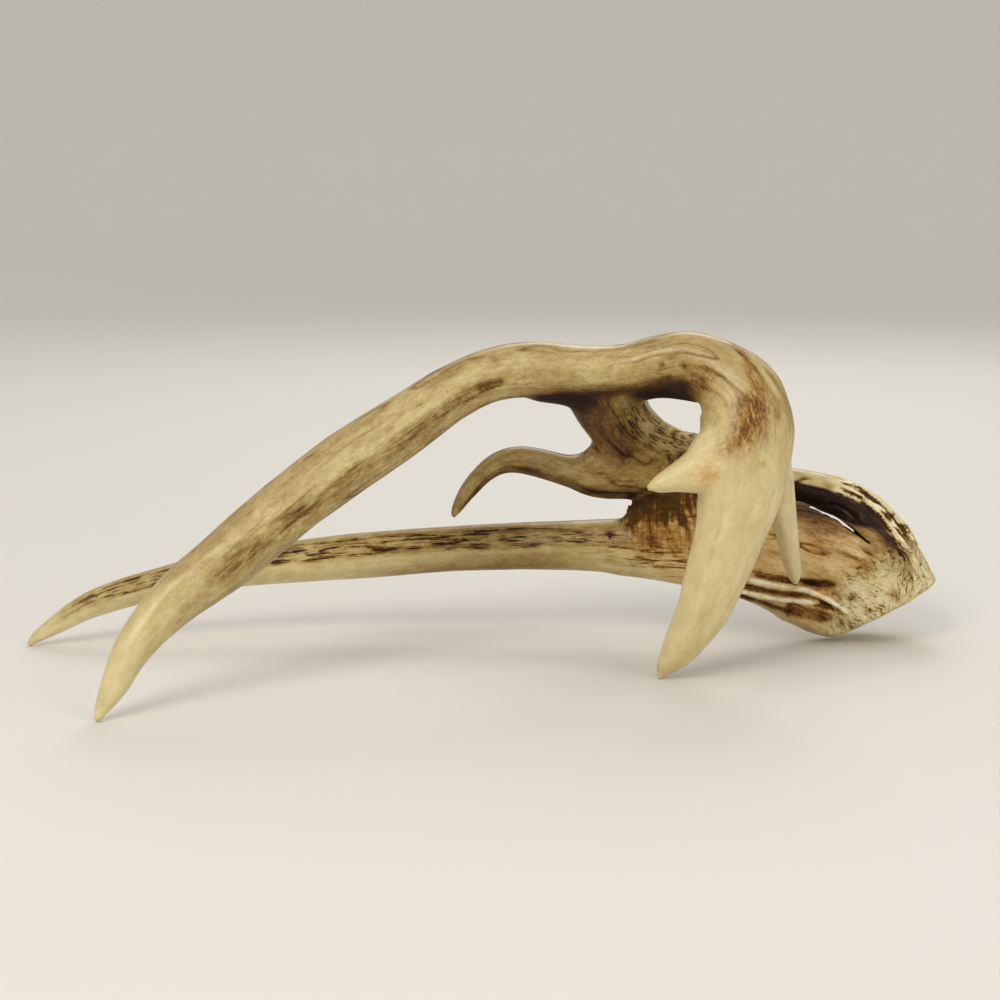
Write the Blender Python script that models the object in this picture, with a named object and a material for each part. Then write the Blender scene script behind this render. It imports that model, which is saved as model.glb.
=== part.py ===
# A deer antler, sawn off at its burr, resting on three tine tips and on the rim of the sawn base.
# It grew as one piece and is split here at its main forks by saw-thin gaps.

import bmesh
import bpy
import numpy as np
from mathutils import Vector

MM = 0.001

# Each branch is a list of stations from root to tip, in millimetres: x, y and z of its middle,
# half its width across, and half its thickness from front to back.
BURR = [
    (198, 30, 5, 28.5, 22), (190, 32, 18, 30, 24), (185, 34, 30, 26, 21), (179, 36, 40, 20, 16),
]
REAR_BEAM = [
    (189, 35, 27, 23, 19), (192, 40, 39, 19, 15), (186, 46, 52, 15, 12.5), (176, 51, 62.5, 13, 11),
    (164, 54, 69, 11, 10.5), (149, 55, 73, 9.5, 10), (128, 53, 76.5, 9, 10), (102, 45, 84, 10, 10.5),
    (85, 36, 93, 12, 10.5), (71, 27, 100, 13.5, 10), (60, 18, 110, 15, 9.5), (53, 7, 122, 15.5, 9.5),
    (48, -4, 133, 15.5, 9.5),
]
LOWER_TINE = [
    (182, 32, 25, 22, 19), (163, 31, 33, 28.5, 16), (143, 29, 40, 27.5, 12.5),
    (121, 28, 44, 22.5, 11), (99, 29, 45, 18.5, 11), (77, 31, 46, 15.5, 11),
    (50, 35, 47, 13, 11), (-20, 42, 44, 11, 10), (-60, 42, 41, 11.5, 10),
    (-100, 39, 38, 10.5, 9.5), (-134, 34, 35, 9, 8.5), (-163, 30, 30, 7.5, 7.5),
    (-202, 24, 19, 6.5, 6), (-219, 22, 9, 4.5, 4), (-231, 20, 0.5, 2.5, 2.5),
]
SHORT_TINE = [
    (76, 28, 83, 12.5, 10.5), (61, 24, 83, 10.5, 9.5), (47, 21, 83, 9.5, 8.5),
    (34, 17, 87, 7.5, 7), (10, 9, 94, 6.5, 6), (0, 6, 93, 5.5, 5.5), (-8, 3, 88, 4.5, 4.5),
    (-16, 0, 79, 4, 4), (-21, -2, 70, 2.5, 2.5),
]
LEFT_TINE = [
    (35, -14, 139, 12, 12), (13, -18, 140, 12.5, 12), (-6, -23, 137, 12, 12),
    (-24, -30, 129, 12.5, 12), (-41, -38, 118, 13.5, 13), (-67, -50, 102, 14, 13.5),
    (-94, -64, 83, 13.5, 12.5), (-120, -78, 62, 13, 11.5), (-140, -88, 47, 11, 10),
    (-156, -97, 29, 7.5, 7), (-164, -102, 13, 5.5, 5), (-169, -105, 0, 2.5, 2.5),
]
RIGHT_BEAM = [
    (35, -14, 139, 12, 12), (58, -14, 140, 11.5, 11.5), (71, -16, 143, 12, 11.5),
    (85, -20, 145, 12.5, 12), (99, -27, 139, 15, 12.5), (108, -34, 129, 19, 13.5),
    (111, -39, 115, 20.5, 14.5), (110, -43, 100, 19.5, 14.5), (107, -45, 84, 18, 13.5),
    (103, -46, 68, 15.5, 12), (98, -46, 52, 14, 11), (93, -45, 36, 12, 9.5),
    (87, -43, 23, 10, 8), (80, -41, 11, 7, 6.5), (74, -39, 0, 3, 3),
]
SPUR = [
    (107, -43, 106, 18, 11.5), (95, -47, 103, 14.5, 10), (86, -51, 99, 10, 7),
    (77, -54, 96, 6, 5.5), (67, -57, 92, 2.5, 2.5),
]
INNER_TINE = [
    (119, -32, 109, 11, 9), (126, -24, 92, 8.5, 8), (131, -16, 75, 6.5, 6.5),
    (135, -10, 61, 5, 5), (138, -5, 49, 4, 4), (141, -1, 37, 2.5, 2.5),
]
FOOT_WEB = [(84, 31, 88, 20, 9), (86, 31, 71, 24, 10), (90, 31, 53, 25, 11)]
RIGHT_ARCH_WEB = [(53, 6, 125, 9.5, 7.5), (65, -2, 131, 8, 7), (78, -10, 135, 9.5, 7), (91, -20, 136, 11, 8)]
LEFT_ARCH_WEB = [(20, -15, 133, 9, 8), (36, -8, 128, 9, 8), (46, 4, 116, 10, 8), (56, 16, 103, 9, 8)]

# The natural slit between the blade of the lower tine and the rear beam slopes down to the back.
SLIT = [(155, 40, 65, 1.2, 32), (168, 40, 59, 1.4, 32), (179, 40, 51, 1.0, 32)]
SLIT_DEPTH_AXIS = (0.19, 0.96, -0.19)

SAWN_FACE_CENTRE = (191, 32, 14)
SAWN_FACE_NORMAL = (0.48, -0.2, -0.854)

RING_SIDES = 24
PATH_STEP = 4
VOXEL = 1.7
SMOOTHING_ROUNDS = 6
KEPT_FACES = 0.085
SAW_GAP = 0.3

# Every branch that is split off: its stations, how far along them the cut lies, how wide the cut
# reaches, how far along a point sits that only this branch holds, its colour and its roughness.
BRANCHES = {
    "lower_tine": (LOWER_TINE, 134, 38, 300, (0.47, 0.37, 0.22), 0.5),
    "short_tine": (SHORT_TINE, 34, 28, 70, (0.33, 0.23, 0.11), 0.45),
    "left_tine": (LEFT_TINE, 34, 36, 150, (0.55, 0.45, 0.26), 0.4),
    "right_beam": (RIGHT_BEAM, 34, 42, 85, (0.58, 0.48, 0.28), 0.4),
    "front_tine": (RIGHT_BEAM, 146, 46, 190, (0.60, 0.50, 0.29), 0.4),
    "spur": (SPUR, 25, 24, 35, (0.64, 0.54, 0.33), 0.4),
    "inner_tine": (INNER_TINE, 26, 22, 55, (0.58, 0.49, 0.30), 0.4),
}
MAIN_BEAM_COLOUR = (0.25, 0.16, 0.08)
MAIN_BEAM_ROUGHNESS = 0.65
MAIN_BEAM_POINT = (190, 32, 18)


def clear_scene():
    for obj in list(bpy.data.objects):
        bpy.data.objects.remove(obj, do_unlink=True)


def smooth_path(stations):
    """The stations joined by a centripetal Catmull-Rom curve, about PATH_STEP apart."""
    rows = np.array(stations, float)
    rows = np.vstack([2 * rows[0] - rows[1], rows, 2 * rows[-1] - rows[-2]])
    path = []
    for a, b, c, d in zip(rows, rows[1:], rows[2:], rows[3:]):
        gaps = [np.linalg.norm(q[:3] - p[:3]) ** 0.5 for p, q in ((a, b), (b, c), (c, d))]
        t0, t1, t2, t3 = np.cumsum([0, *gaps])
        steps = max(2, round(gaps[1] ** 2 / PATH_STEP))
        for t in np.linspace(t1, t2, steps, endpoint=False):
            ab = ((t1 - t) * a + (t - t0) * b) / (t1 - t0)
            bc = ((t2 - t) * b + (t - t1) * c) / (t2 - t1)
            cd = ((t3 - t) * c + (t - t2) * d) / (t3 - t2)
            abc = ((t2 - t) * ab + (t - t0) * bc) / (t2 - t0)
            bcd = ((t3 - t) * bc + (t - t1) * cd) / (t3 - t1)
            path.append(((t2 - t) * abc + (t - t1) * bcd) / (t2 - t1))
    path.append(rows[-2])
    return np.array(path)


def place_along(stations, distance):
    """The point of a branch this many millimetres from its root, and the direction there."""
    path = smooth_path(stations)
    lengths = np.linalg.norm(np.diff(path[:, :3], axis=0), axis=1)
    index = int(np.searchsorted(np.cumsum(lengths), distance))
    direction = path[index + 1, :3] - path[index, :3]
    return Vector(path[index, :3]), Vector(direction).normalized()


def add_tube(mesh, stations, depth_axis=(0, 1, 0)):
    """Adds a closed tube of oval rings that runs through the stations."""
    path = smooth_path(stations)
    tangents = np.gradient(path[:, :3], axis=0)
    angles = np.linspace(0, 2 * np.pi, RING_SIDES, endpoint=False)[:, None]
    rings = []
    for row, tangent in zip(path, tangents):
        along = tangent / np.linalg.norm(tangent)
        deep = depth_axis - np.dot(depth_axis, along) * along
        deep /= np.linalg.norm(deep)
        across = np.cross(along, deep)
        ring = row[:3] + row[3] * np.cos(angles) * across + row[4] * np.sin(angles) * deep
        rings.append([mesh.verts.new(point * MM) for point in ring])
    for ring, following in zip(rings, rings[1:]):
        for i in range(RING_SIDES):
            j = (i + 1) % RING_SIDES
            mesh.faces.new((ring[i], ring[j], following[j], following[i]))
    mesh.faces.new(reversed(rings[0]))
    mesh.faces.new(rings[-1])


def object_from(name, mesh):
    bmesh.ops.recalc_face_normals(mesh, faces=mesh.faces)
    data = bpy.data.meshes.new(name)
    mesh.to_mesh(data)
    mesh.free()
    obj = bpy.data.objects.new(name, data)
    bpy.context.scene.collection.objects.link(obj)
    return obj


def tubes(name, branches, **options):
    mesh = bmesh.new()
    for stations in branches:
        add_tube(mesh, stations, **options)
    return object_from(name, mesh)


def block(name, centre, direction, length, width):
    """A square block, its length lying along the direction and its middle at the centre."""
    mesh = bmesh.new()
    bmesh.ops.create_cube(mesh, size=MM)
    obj = object_from(name, mesh)
    obj.scale = (width, width, length)
    obj.rotation_euler = Vector(direction).to_track_quat("Z", "Y").to_euler()
    obj.location = Vector(centre) * MM
    return obj


def apply_modifiers(obj):
    graph = bpy.context.evaluated_depsgraph_get()
    obj.data = bpy.data.meshes.new_from_object(obj.evaluated_get(graph))
    obj.modifiers.clear()


def cut_away(obj, cutters):
    for cutter in cutters:
        boolean = obj.modifiers.new(cutter.name, "BOOLEAN")
        boolean.operation = "DIFFERENCE"
        boolean.solver = "EXACT"
        boolean.object = cutter
    apply_modifiers(obj)
    for cutter in cutters:
        bpy.data.objects.remove(cutter, do_unlink=True)


def whole_antler():
    """All branches grown together into one surface."""
    branches = [
        BURR, REAR_BEAM, LOWER_TINE, SHORT_TINE, LEFT_TINE, RIGHT_BEAM, SPUR, INNER_TINE,
        FOOT_WEB, RIGHT_ARCH_WEB, LEFT_ARCH_WEB,
    ]
    antler = tubes("antler", branches)
    remesh = antler.modifiers.new("grown together", "REMESH")
    remesh.mode = "VOXEL"
    remesh.voxel_size = VOXEL * MM
    smooth = antler.modifiers.new("rounded forks", "SMOOTH")
    smooth.iterations = SMOOTHING_ROUNDS
    decimate = antler.modifiers.new("fewer faces", "DECIMATE")
    decimate.ratio = KEPT_FACES
    apply_modifiers(antler)
    return antler


def saw_cuts():
    """A thin square plate across each branch that is split off."""
    cuts = []
    for name, (stations, distance, width, *_) in BRANCHES.items():
        centre, direction = place_along(stations, distance)
        cuts.append(block(f"cut {name}", centre, direction, SAW_GAP, width))
    return cuts


def base_cut():
    """A block that takes off everything beyond the sawn face."""
    size = 120
    normal = Vector(SAWN_FACE_NORMAL).normalized()
    return block("sawn base", Vector(SAWN_FACE_CENTRE) + normal * size / 2, normal, size, size)


def gap_to(obj, point):
    """The distance from a point, in millimetres, to the nearest vertex of an object."""
    return min((vertex.co - point * MM).length for vertex in obj.data.vertices)


def split_pieces(antler):
    """The antler's separate bodies, each named after the branch whose own point lies in it."""
    bpy.context.view_layer.objects.active = antler
    antler.select_set(True)
    bpy.ops.mesh.separate(type="LOOSE")
    pieces = list(bpy.context.selected_objects)
    points = {name: place_along(row[0], row[3])[0] for name, row in BRANCHES.items()}
    points["main_beam"] = Vector(MAIN_BEAM_POINT)
    named = {}
    for name, point in points.items():
        piece = min(pieces, key=lambda candidate: gap_to(candidate, point))
        piece.name = piece.data.name = name
        named[name] = piece
    return named


def finish(obj, colour, roughness):
    material = bpy.data.materials.new(obj.name)
    material.use_nodes = True
    bone = material.node_tree.nodes["Principled BSDF"]
    bone.inputs["Base Color"].default_value = (*colour, 1)
    bone.inputs["Roughness"].default_value = roughness
    bone.inputs["Metallic"].default_value = 0
    obj.data.materials.clear()
    obj.data.materials.append(material)


def set_origin(obj, point):
    """Moves an object's origin to a point, in millimetres, and leaves its surface where it is."""
    obj.data.transform(obj.matrix_world)
    for vertex in obj.data.vertices:
        vertex.co -= point * MM
    obj.location = point * MM


def rest_on_ground(pieces):
    """Hangs the pieces on one empty that puts the footprint's middle at x = y = 0 and the tips at z = 0."""
    bpy.context.view_layer.update()
    corners = np.array([obj.matrix_world @ v.co for obj in pieces for v in obj.data.vertices])
    low, high = corners.min(axis=0), corners.max(axis=0)
    antler = bpy.data.objects.new("antler", None)
    bpy.context.scene.collection.objects.link(antler)
    antler.location = (-(low[0] + high[0]) / 2, -(low[1] + high[1]) / 2, -low[2])
    for obj in pieces:
        obj.parent = antler


def build():
    clear_scene()
    antler = whole_antler()
    slit = tubes("slit", [SLIT], depth_axis=SLIT_DEPTH_AXIS)
    cut_away(antler, [slit, base_cut(), *saw_cuts()])
    pieces = split_pieces(antler)
    finish(pieces["main_beam"], MAIN_BEAM_COLOUR, MAIN_BEAM_ROUGHNESS)
    set_origin(pieces["main_beam"], Vector(SAWN_FACE_CENTRE))
    for name, (stations, distance, _, _, colour, roughness) in BRANCHES.items():
        finish(pieces[name], colour, roughness)
        set_origin(pieces[name], place_along(stations, distance)[0])
    rest_on_ground(list(pieces.values()))


build()
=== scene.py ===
import itertools
import math

import bpy
import numpy as np
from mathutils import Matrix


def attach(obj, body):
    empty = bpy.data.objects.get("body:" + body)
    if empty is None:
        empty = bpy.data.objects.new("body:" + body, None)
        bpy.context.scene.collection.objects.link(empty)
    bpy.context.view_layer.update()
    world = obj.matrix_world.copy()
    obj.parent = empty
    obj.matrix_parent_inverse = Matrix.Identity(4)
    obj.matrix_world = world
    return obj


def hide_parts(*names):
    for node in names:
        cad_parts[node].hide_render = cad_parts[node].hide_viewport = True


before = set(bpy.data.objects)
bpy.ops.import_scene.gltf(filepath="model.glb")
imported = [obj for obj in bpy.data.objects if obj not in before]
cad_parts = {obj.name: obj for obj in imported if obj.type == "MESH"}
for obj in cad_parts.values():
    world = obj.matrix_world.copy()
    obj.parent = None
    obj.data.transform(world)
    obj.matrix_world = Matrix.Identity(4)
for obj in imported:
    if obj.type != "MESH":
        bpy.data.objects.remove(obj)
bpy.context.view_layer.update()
mm = 0.001

# the antler's shape, in mm; a route's columns are x, y, z, half width and half depth

branches = {
    "rearBeam": [
        (199, 30, 4, 24, 19), (190, 33, 18, 24, 19), (189, 35, 27, 23, 19), (192, 40, 39, 18.5, 14.5),
        (186, 46, 52, 15, 12.5), (176, 51, 62.5, 12.5, 11), (164, 54, 69, 10.5, 10.5),
        (149, 55, 73, 9.2, 10), (128, 53, 76.5, 9, 10), (102, 45, 84, 10, 10.5), (85, 36, 93, 11.5, 10.5),
        (71, 27, 100, 13.5, 10), (60, 18, 110, 15, 9.5), (53, 7, 122, 15.5, 9.5), (48, -4, 133, 14, 9),
    ],
    "lowerTine": [
        (182, 32, 25, 20, 18), (163, 31, 33, 27.5, 15.5), (143, 29, 40, 27, 12.5),
        (121, 28, 44, 22.5, 11), (99, 29, 45, 18.5, 11), (77, 31, 46, 15.5, 11),
        (50, 35, 47, 13, 11), (-20, 42, 44, 11.3, 10), (-60, 42, 41, 11.5, 10),
        (-100, 39, 38, 10.5, 9.5), (-134, 34, 35, 9.2, 8.5), (-163, 30, 30, 7.8, 7.5),
        (-202, 24, 19, 6.6, 6), (-219, 22, 9.5, 4.6, 4.2), (-229, 20, 3, 2.4, 2.4),
        (-231.5, 20, 0.5, 1.2, 1.2),
    ],
    "shortTine": [
        (76, 28, 83, 12.5, 10.5), (61, 24, 83, 10.8, 9.5), (47, 21, 83, 9.7, 8.5),
        (34, 17, 87, 7.8, 7), (10, 9, 94, 6.7, 6), (0, 6, 93, 5.8, 5.5), (-8, 3, 88, 4.9, 4.7),
        (-16, 0, 79, 4, 4), (-21, -1.5, 71, 2.2, 2.2), (-22, -2, 69, 1.2, 1.2),
    ],
    "frontBeam": [
        (-170, -107, 1.4, 1.7, 1.7), (-168.5, -105, 4.5, 3, 2.8), (-164, -102, 13, 5.6, 5.2),
        (-156, -97, 29, 8.2, 7.5), (-140, -88, 47, 11.2, 10), (-120, -78, 62, 13.3, 11.5),
        (-94, -64, 83, 13.9, 12.5), (-67, -50, 102, 14.3, 13.5), (-41, -38, 118, 13.8, 13),
        (-24, -30, 129, 12.8, 12), (-6, -23, 137, 12.5, 12), (13, -18, 140, 12.8, 12), (35, -14, 139, 12, 12),
        (58, -14, 140, 11.5, 11.5), (71, -16, 143, 12, 11.5), (85, -20, 145, 12.7, 12),
        (99, -27, 139, 15.3, 12.5), (108, -34, 129, 19.3, 13.5), (111, -39, 115, 20.8, 14.5),
        (110, -43, 100, 19.8, 14.5), (107, -45, 84, 18.3, 13.5), (103, -46, 68, 15.8, 12),
        (98, -46, 52, 14.3, 11), (93, -45, 36, 12.3, 9.5), (87, -43, 23, 10.2, 8),
        (80, -41, 11, 7.2, 6.5), (75, -40, 4, 3.8, 3.5), (73.5, -40.5, 1.5, 1.8, 1.8),
    ],
    "spur": [
        (107, -43, 104.5, 17, 11), (95, -47, 101, 14.5, 10), (86, -51, 97.5, 9.8, 7.5),
        (77, -54, 95, 6, 5.5), (69, -56.5, 92.5, 3.4, 3.2), (66.5, -57, 91.7, 1.8, 1.8),
    ],
    "innerTine": [
        (119, -32, 109, 11, 9), (126, -24, 92, 8.6, 8), (131, -16, 75, 6.8, 6.6),
        (135, -10, 61, 5.3, 5.2), (138, -5, 49, 4.3, 4.2), (140.5, -1.5, 39, 2.8, 2.8),
        (141, -1, 36.5, 1.4, 1.4),
    ],
}
webs = {  # skins of bone that fill the forks
    "burr": [
        (198, 30, 5, 28, 21.5), (190, 32, 18, 29.5, 23.5), (185, 34, 30, 26, 20.5), (179, 36, 40, 19.5, 15.5),
    ],
    "foot": [
        (78, 31, 90, 23, 8), (83, 31, 81, 20, 9.5), (85, 31, 70, 20.5, 10), (85.5, 31, 63, 24.5, 10),
        (87, 31, 58, 28, 10), (90, 31, 50, 37, 10),
    ],
    "shortFork": [(60, 18, 105, 9, 8), (51, 18, 94, 9, 7.5), (40, 18, 88, 6, 6)],
    "rightArch": [
        (53, 6, 125, 9.5, 7.5), (65, -2, 131, 8, 7), (78, -10, 135, 9.5, 7), (91, -20, 136, 11, 8),
    ],
    "burrLip": [
        (143, 30, 15.5, 5, 8), (149, 30, 14.2, 6.3, 9), (156.4, 30, 10.6, 6.8, 10), (164, 30, 7.8, 6.2, 10),
        (170.5, 30, 6.2, 5, 9),
    ],
    "bladeTop": [
        (122, 30, 60, 3, 4), (134, 31, 63.5, 4.3, 5), (146, 32, 64.8, 4.4, 5), (154, 34, 62.5, 3.3, 4),
    ],
    "leftArch": [
        (20, -15, 133, 8, 8), (36, -8, 128, 8, 8), (46, 4, 116, 9, 8), (56, 16, 103, 8.5, 8),
    ],
}
slit = {
    "route": [
        (151.5, 40, 66, 0.4, 34), (156, 40, 64.6, 0.5, 34), (161, 40, 62.2, 0.7, 34), (166, 40, 60, 0.6, 34),
        (170.5, 40, 57, 1.2, 34), (174, 40, 54.6, 0.9, 34), (177, 40, 52.4, 0.5, 34), (180, 40, 50, 0.4, 34),
    ],
    "throughAxis": (0.19, 0.96, -0.19),
}
sawnFace = {
    "centre": (191, 32, 14),
    "normal": (0.48, -0.2, -0.854),
    "edge": 2.2,     # how softly the rim is rounded
    "margin": 60,    # the cutting block, past the width of the base
    "clear": 0.004,  # the share of the block's size that it stays off the plane
}
skin = {
    "placing": (6.68, 21.11, 0.52),  # from the routes' own origin to the frame's
    "ringSides": 28,
    "voxel": 1.5,                    # first skin over the branches
    "forkFillet": 2.0,               # how softly branches flow into each other
    "toneFillet": 2.5,               # how softly their tones do
    "fits": 4,                       # rounds of pulling the skin onto the exact shape
    "fitStep": 1.2,                  # the most that such a round moves a point
    "lastFitStep": 0.5,
    "loose": 0.1,                    # points further off than this are settled
    "mostTriangles": 196000,
    "pointsAtOnce": 40000,           # keeps the tables of distances small
}


def smoothStep(low, high, value):
    t = np.clip((value - low) / (high - low), 0, 1)
    return t * t * (3 - 2 * t)


def smoothRoute(stations, spacing=1.5):
    # centripetal Catmull-Rom through the stations
    rows = np.array(stations, float)
    rows = np.vstack([2 * rows[0] - rows[1], rows, 2 * rows[-1] - rows[-2]])
    route = []
    for a, b, c, d in zip(rows, rows[1:], rows[2:], rows[3:]):
        gaps = [max(np.linalg.norm(q[:3] - p[:3]), 0.001) ** 0.5 for p, q in ((a, b), (b, c), (c, d))]
        t0, t1, t2, t3 = np.cumsum([0, *gaps])
        for t in np.linspace(t1, t2, max(2, round(gaps[1] ** 2 / spacing)), endpoint=False):
            ab = ((t1 - t) * a + (t - t0) * b) / (t1 - t0)
            bc = ((t2 - t) * b + (t - t1) * c) / (t2 - t1)
            cd = ((t3 - t) * c + (t - t2) * d) / (t3 - t2)
            abc = ((t2 - t) * ab + (t - t0) * bc) / (t2 - t0)
            bcd = ((t3 - t) * bc + (t - t1) * cd) / (t3 - t1)
            route.append(((t2 - t) * abc + (t - t1) * bcd) / (t2 - t1))
    route.append(rows[-2])
    return np.array(route)


def makeTube(stations, deepAxis=(0, 1, 0)):
    route = smoothRoute(stations)
    centre, half = route[:, :3], np.maximum(route[:, 3:], 0.4)
    along = np.gradient(centre, axis=0)
    along /= np.linalg.norm(along, axis=1)[:, None]
    deep = np.array(deepAxis) - (along @ np.array(deepAxis))[:, None] * along
    deep /= np.linalg.norm(deep, axis=1)[:, None]
    steps = np.linalg.norm(np.diff(centre, axis=0), axis=1)
    length = np.concatenate([[0], np.cumsum(steps)])
    return {"centre": centre, "half": half, "along": along, "deep": deep,
            "across": np.cross(along, deep), "length": length}


def around(points, tube):
    # how points lie in a tube: distance to its skin, how far along, offset across and to the back
    centre = tube["centre"]
    nearest = np.empty(len(points), int)
    for start in range(0, len(points), skin["pointsAtOnce"]):
        some = points[start:start + skin["pointsAtOnce"]]
        nearest[start:start + skin["pointsAtOnce"]] = ((centre ** 2).sum(1) - 2 * some @ centre.T).argmin(1)
    ahead = ((points - centre[nearest]) * tube["along"][nearest]).sum(1) > 0
    first = np.clip(np.where(ahead, nearest, nearest - 1), 0, len(centre) - 2)
    step = centre[first + 1] - centre[first]
    part = ((points - centre[first]) * step).sum(1) / (step ** 2).sum(1)
    inside = np.clip(part, 0, 1)[:, None]

    def between(name):
        return tube[name][first] * (1 - inside) + tube[name][first + 1] * inside

    offset = points - between("centre")
    across = (offset * between("across")).sum(1)
    deep = (offset * between("deep")).sum(1)
    beyond = np.abs(part - inside[:, 0]) * np.linalg.norm(step, axis=1)
    half = between("half")
    ratio = np.sqrt((across / half[:, 0]) ** 2 + (deep / half[:, 1]) ** 2 + (beyond / half.min(1)) ** 2)
    ratio = np.maximum(ratio, 0.001)
    reach = np.sqrt(across ** 2 + deep ** 2 + beyond ** 2)
    length = tube["length"][first] * (1 - inside[:, 0]) + tube["length"][first + 1] * inside[:, 0]
    gap = np.where(reach > 0.01, reach * (1 - 1 / ratio), -half.min(1))
    return gap, length, across, deep


tubes = {name: makeTube(route) for name, route in branches.items()}
webTubes = {name: makeTube(route) for name, route in webs.items()}
slitTube = makeTube(slit["route"], slit["throughAxis"])


def smoothMax(a, b, width):
    return np.maximum(a, b) + width * np.log1p(np.exp(-np.abs(a - b) / width))


def wholeGap(points):
    # distance to the skin of the whole antler, its branches flowing into each other
    fillet = skin["forkFillet"]
    gaps = np.array([around(points, tube)[0] for tube in (*tubes.values(), *webTubes.values())])
    nearest = gaps.min(0)
    gap = nearest - fillet * np.log(np.exp((nearest - gaps) / fillet).sum(0))
    cut = (points - np.array(sawnFace["centre"])) @ np.array(sawnFace["normal"])
    return smoothMax(gap, cut, sawnFace["edge"])


def addMesh(name, points, faces):
    mesh = bpy.data.meshes.new(name)
    mesh.from_pydata([tuple(p) for p in np.asarray(points) * mm], [], faces)
    made = bpy.data.objects.new(name, mesh)
    bpy.context.scene.collection.objects.link(made)
    return made


def tubeMesh(name, shapes, sides=skin["ringSides"]):
    # closed tubes in one mesh, one for each shape
    points, faces = [], []
    turn = np.linspace(0, 2 * math.pi, sides, endpoint=False)
    for tube in shapes:
        start = len(points)
        for i in range(len(tube["centre"])):
            ring = (tube["centre"][i] + np.outer(np.cos(turn) * tube["half"][i, 0], tube["across"][i])
                    + np.outer(np.sin(turn) * tube["half"][i, 1], tube["deep"][i]))
            points.extend(ring)
        rings = len(tube["centre"])
        for i, j in itertools.product(range(rings - 1), range(sides)):
            a, b = start + i * sides + j, start + i * sides + (j + 1) % sides
            faces.append((b, a, a + sides, b + sides))
        faces.append([start + j for j in range(sides)])
        faces.append([start + (rings - 1) * sides + j for j in reversed(range(sides))])
    return addMesh(name, points, faces)


def modify(made, kind, **settings):
    modifier = made.modifiers.new(kind.title(), kind)
    for name, value in settings.items():
        setattr(modifier, name, value)
    bpy.context.view_layer.objects.active = made
    bpy.ops.object.modifier_apply(modifier=modifier.name)


def pointsOf(made):
    points = np.empty(len(made.data.vertices) * 3)
    made.data.vertices.foreach_get("co", points)
    return points.reshape(-1, 3) / mm


def normalsOf(made):
    normals = np.empty(len(made.data.vertices) * 3, np.float32)
    made.data.vertex_normals.foreach_get("vector", normals)
    return normals.reshape(-1, 3).astype(float)


def setPoints(made, points):
    made.data.vertices.foreach_set("co", (points * mm).ravel())
    made.data.update()


def makeSkin():
    antler = tubeMesh("antler", [*tubes.values(), *webTubes.values()])
    modify(antler, "REMESH", mode="VOXEL", voxel_size=skin["voxel"] * mm)
    side = 2 * max(branches["rearBeam"][0][3:]) + sawnFace["margin"]
    normal = np.array(sawnFace["normal"]) / np.linalg.norm(sawnFace["normal"])
    first = np.cross(normal, (0, 1, 0)) * side
    second = np.cross(normal, first)
    corners = [np.array(sawnFace["centre"]) + a * first + b * second + c * normal * side
               for a, b, c in itertools.product((-1, 1), (-1, 1), (sawnFace["clear"], 1))]
    sides = [(0, 1, 3, 2), (4, 6, 7, 5), (0, 4, 5, 1), (2, 3, 7, 6), (0, 2, 6, 4), (1, 5, 7, 3)]
    box = addMesh("sawBlade", corners, sides)
    modify(antler, "BOOLEAN", object=box, operation="DIFFERENCE", solver="MANIFOLD")
    bpy.data.objects.remove(box)
    modify(antler, "REMESH", mode="VOXEL", voxel_size=skin["voxel"] * mm)
    for fit in range(skin["fits"]):
        points = pointsOf(antler)
        step = np.clip(wholeGap(points), -skin["fitStep"], skin["fitStep"])
        setPoints(antler, points - normalsOf(antler) * step[:, None])
    return antler


antler = makeSkin()
print("skin over the branches:", len(antler.data.vertices), "points")


# relief: channels, pearls, ridges and furrows cut into the skin

def hashed(cells, seed):
    # a fixed random number from -1 to 1 for each cell
    mixed = (cells @ np.array([374761393, 668265263, 1274126177]) + seed * 974634777) & 0xFFFFFFFF
    mixed = ((mixed ^ (mixed >> 13)) * 1103515245) & 0xFFFFFFFF
    return ((mixed ^ (mixed >> 16)) & 0xFFFF) / 32767.5 - 1


def noise(points, seed, octaves=1):
    total = 0
    for octave in range(octaves):
        place = points * 2 ** octave + 0.37 * seed
        cell = np.floor(place).astype(np.int64)
        part = place - cell
        part = part * part * (3 - 2 * part)
        for corner in itertools.product((0, 1), repeat=3):
            weight = np.where(corner, part, 1 - part).prod(1)
            total = total + weight * hashed(cell + np.array(corner), seed + octave) * 0.5 ** octave
    return total / (2 - 0.5 ** (octaves - 1))


def band(value, low, high, soft):
    return smoothStep(low - soft, low + soft, value) * (1 - smoothStep(high - soft, high + soft, value))


def profile(value, steps):
    return np.interp(value, *zip(*steps))


def settle(points, rounds=4, nudge=0.2, leastSlope=0.2):
    # pulls points onto the skin along its own slope
    for settling in range(rounds):
        gap = wholeGap(points)
        nudged = [wholeGap(points + shift) - gap for shift in np.eye(3) * nudge]
        slope = np.array(nudged).T / nudge
        slope /= np.maximum(np.linalg.norm(slope, axis=1), leastSlope)[:, None]
        points = points - slope * gap[:, None]
    return points


def onBranch(name, along, turn):
    # a place on a branch: mm from its first station, degrees round it from the front
    tube = tubes[name]

    def at(column):
        return np.array([np.interp(along, tube["length"], values) for values in tube[column].T]).T

    half = at("half")
    side, front = np.sin(np.radians(turn))[..., None], np.cos(np.radians(turn))[..., None]
    reach = 1 / np.sqrt((side / half[..., :1]) ** 2 + (front / half[..., 1:]) ** 2)
    return at("centre") + reach * (side * at("across") - front * at("deep"))


def strand(name, stops, spacing=1.0):
    # a line laid on the skin through a few places on a branch
    route = smoothRoute([(*stop, 0) for stop in stops], spacing)
    return settle(onBranch(name, route[:, 0], route[:, 1]))


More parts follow.
